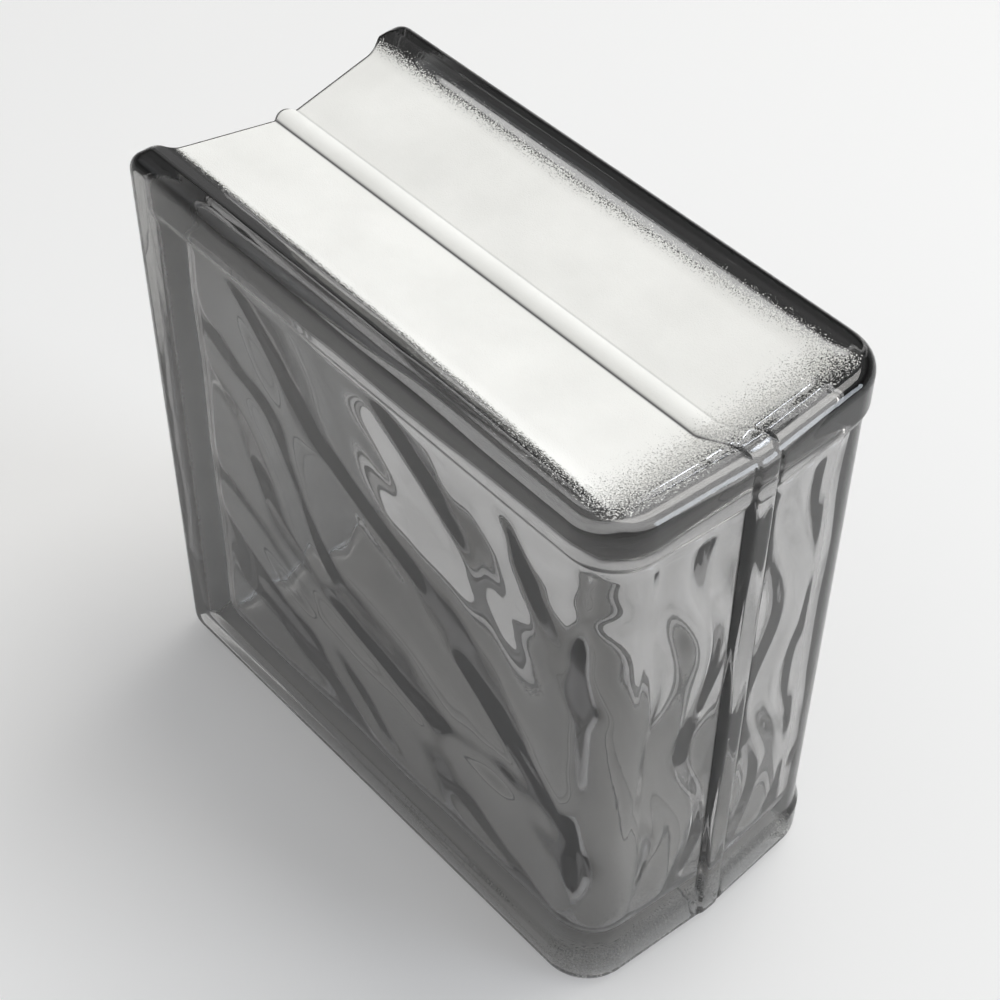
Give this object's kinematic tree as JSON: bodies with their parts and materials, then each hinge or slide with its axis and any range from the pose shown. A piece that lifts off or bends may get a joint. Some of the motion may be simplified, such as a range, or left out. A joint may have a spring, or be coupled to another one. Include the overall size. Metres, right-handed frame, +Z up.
{
  "type": "glass block",
  "caption": "Hollow pressed-glass end block with wavy inner faces, a seam bead, white-coated mortar channels on the top, side and bottom, and one rounded clear finished end.",
  "frame": {"origin": "middle of the footprint, on the floor that the block stands on", "axes": "+Z up, -Y out of the front face, +X towards the rounded finished end"},
  "size_m": [0.1968, 0.0984, 0.1969],
  "materials": {
    "glass": "clear pressed glass with a grey tint, smooth outside and wavy inside",
    "coating": "matt white sprayed edge coating, slightly grainy"
  },
  "bodies": {
    "root": {"glass_body": "glass", "edge_coating": "coating"}
  },
  "joints": []
}
